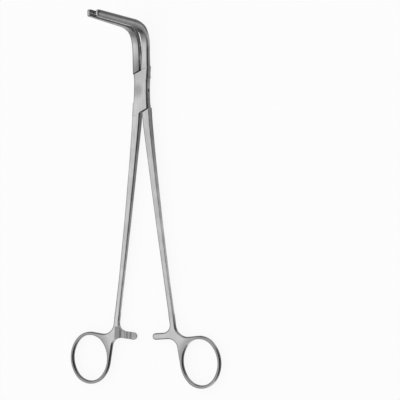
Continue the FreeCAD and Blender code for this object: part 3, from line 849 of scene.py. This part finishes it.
# painted shade on fronts that roll off to the left
LEFT_EDGE_SHADE = 0.25
LEFT_FLANK_SHADE = 0.40
LEFT_FLANK = (-0.55, -0.95)
MALE_LEFT_SHADE = 0.35


def front_tone(steel):
    """The tone of the flat front."""
    tone = FRONT_TONE
    if not steel.is_male:
        tone = blend(steel.tree, on_bar(steel, LEFT_BAR_X), FRONT_TONE, BAR_TONE)
    return darken(steel.tree, tone, steel.marks["Ring"], RING_SHADE)


def front_to_flank(steel, front, flank):
    """The front, with painted shade where it turns right, at its ends and at its left."""
    tree = steel.tree
    turned_to = steel.facing
    off_pin = steel.marks["Off pin"]
    end_on = number(tree, "MAXIMUM", turned_to["Upward"], turned_to["Downward"])
    from_rivet = number(tree, "ABSOLUTE", steel.y)
    end_on = number(tree, "MULTIPLY", end_on, ramp(tree, from_rivet, *END_START))
    turned = number(tree, "MAXIMUM", turned_to["Rightward"], end_on)
    steel.turned = number(tree, "MULTIPLY", turned, off_pin)
    tone = blend(tree, steel.turned, front, flank)
    left = blend(tree, ramp(tree, turned_to["Own X"], *LEFT_FLANK),
                 LEFT_EDGE_SHADE, LEFT_FLANK_SHADE)
    if steel.is_male:
        left = darken(tree, left, steel.below_lock, MALE_LEFT_SHADE)
    leftward = number(tree, "MULTIPLY", turned_to["Leftward"], off_pin)
    return blend(tree, leftward, tone, left)


# %% [markdown]
# The male stem is scooped down to its tongue where it enters the lock, and painted shade
# makes the scoop darker towards it, most beside the other stem. Lower down, a painted
# highlight on its shank's right edge keeps a dark line from showing there.

# %% The male stem and shank
SCOOP = (27 * MM, 13 * MM)
SCOOP_END = (9 * MM, 10 * MM)
SCOOP_SHADE = 0.45
INNER_X = (-3.8 * MM, -2.2 * MM)
INNER_Y = (10 * MM, 34 * MM, 4 * MM)
INNER_SHADE = 0.15
# a painted highlight on the shank's right edge
HIGHLIGHT_EDGE_FACING = (0.95, 0.70)
EDGE_HIGHLIGHT = 0.9


def male_stem(steel, tone):
    """The tone with painted shade on the scoop and inner stem, and a painted edge highlight.
    """
    tree = steel.tree
    scoop = number(tree, "MULTIPLY", ramp(tree, steel.y, *SCOOP),
                   ramp(tree, steel.y, *SCOOP_END))
    scoop = darken(tree, scoop, steel.turned, 1.0)
    tone = darken(tree, tone, scoop, SCOOP_SHADE)
    inner = number(tree, "MULTIPLY", ramp(tree, steel.x, *INNER_X),
                   window(tree, steel.y, *INNER_Y))
    tone = darken(tree, tone, inner, INNER_SHADE)
    edge_highlight = number(tree, "MULTIPLY", steel.facing["Rightward"],
                       ramp(tree, steel.facing["Own X"], *HIGHLIGHT_EDGE_FACING))
    edge_highlight = number(tree, "MULTIPLY", edge_highlight, steel.low)
    return lighten(tree, tone, edge_highlight, EDGE_HIGHLIGHT)


# %% [markdown]
# Last, the tone becomes a colour with a trace of blue, as chromium steel has, and the
# grain becomes a shallow bump on top of the rounded edges.

# %% The whole steel
BLUE_TINT = 1.01
BUMP_STRENGTH = 0.12
BUMP_DEPTH = 0.02 * MM


def dress(steel, tone):
    """Wear the tone and give it, with its roughness and bump, to the shader."""
    tree = steel.tree
    worn = use_group(tree, wear_and_joint_shade, {"Tone": tone})
    colour = tree.nodes.new("ShaderNodeCombineColor")
    feed(tree, worn["Tone"], colour.inputs["Red"])
    feed(tree, worn["Tone"], colour.inputs["Green"])
    feed(tree, number(tree, "MULTIPLY", worn["Tone"], BLUE_TINT), colour.inputs["Blue"])
    feed(tree, colour.outputs["Color"], steel.shader.inputs["Base Color"])
    feed(tree, worn["Roughness"], steel.shader.inputs["Roughness"])
    bump = tree.nodes.new("ShaderNodeBump")
    bump.inputs["Strength"].default_value = BUMP_STRENGTH
    bump.inputs["Distance"].default_value = BUMP_DEPTH
    feed(tree, worn["Height"], bump.inputs["Height"])
    feed(tree, steel.facing["Normal"], bump.inputs["Normal"])
    feed(tree, bump.outputs["Normal"], steel.shader.inputs["Normal"])


def satin_steel(name, side, shank_bands, low_tone, low_range):
    """The steel of one arm. Its flank turns into low_tone over low_range in Y."""
    steel = start_steel(name, side)
    flank = flank_tone(steel, shank_bands, low_tone, low_range)
    if not steel.is_male:
        flank = ratchet_flank(steel, flank)
    tone = front_to_flank(steel, front_tone(steel), flank)
    tone = blend(steel.tree, steel.grip["On grip"], tone, steel.grip["Tone"])
    tone = male_stem(steel, tone) if steel.is_male else ratchet_foot(steel, tone)
    dress(steel, tone)
    return steel.material


# %% [markdown]
# ## Dressing the three pieces
#
# The male arm's flanks grow plain higher up than the female one's, because they come out
# of the lock's shade sooner. The rivet wears a copy of the female arm's steel, because it is
# ground together with the plate, and its low tone is set darker.

# %% Steel on the pieces
FEMALE_LOW = (0.50, (-60 * MM, -140 * MM))
MALE_LOW = (0.53, (-20 * MM, -90 * MM))
RIVET_LOW = (0.30, (-60 * MM, -140 * MM))

steels = {
    "female_arm": satin_steel("arm_steel_female", LEFT, FEMALE_SHADE_BANDS, *FEMALE_LOW),
    "male_arm": satin_steel("arm_steel_male", RIGHT, MALE_SHADE_BANDS, *MALE_LOW),
    "lock_pin": satin_steel("rivet_steel", LEFT, FEMALE_SHADE_BANDS, *RIVET_LOW)}
for name, finish in steels.items():
    nodes[name].data.materials.clear()
    nodes[name].data.materials.append(finish)
    print(name, "wears", finish.name)
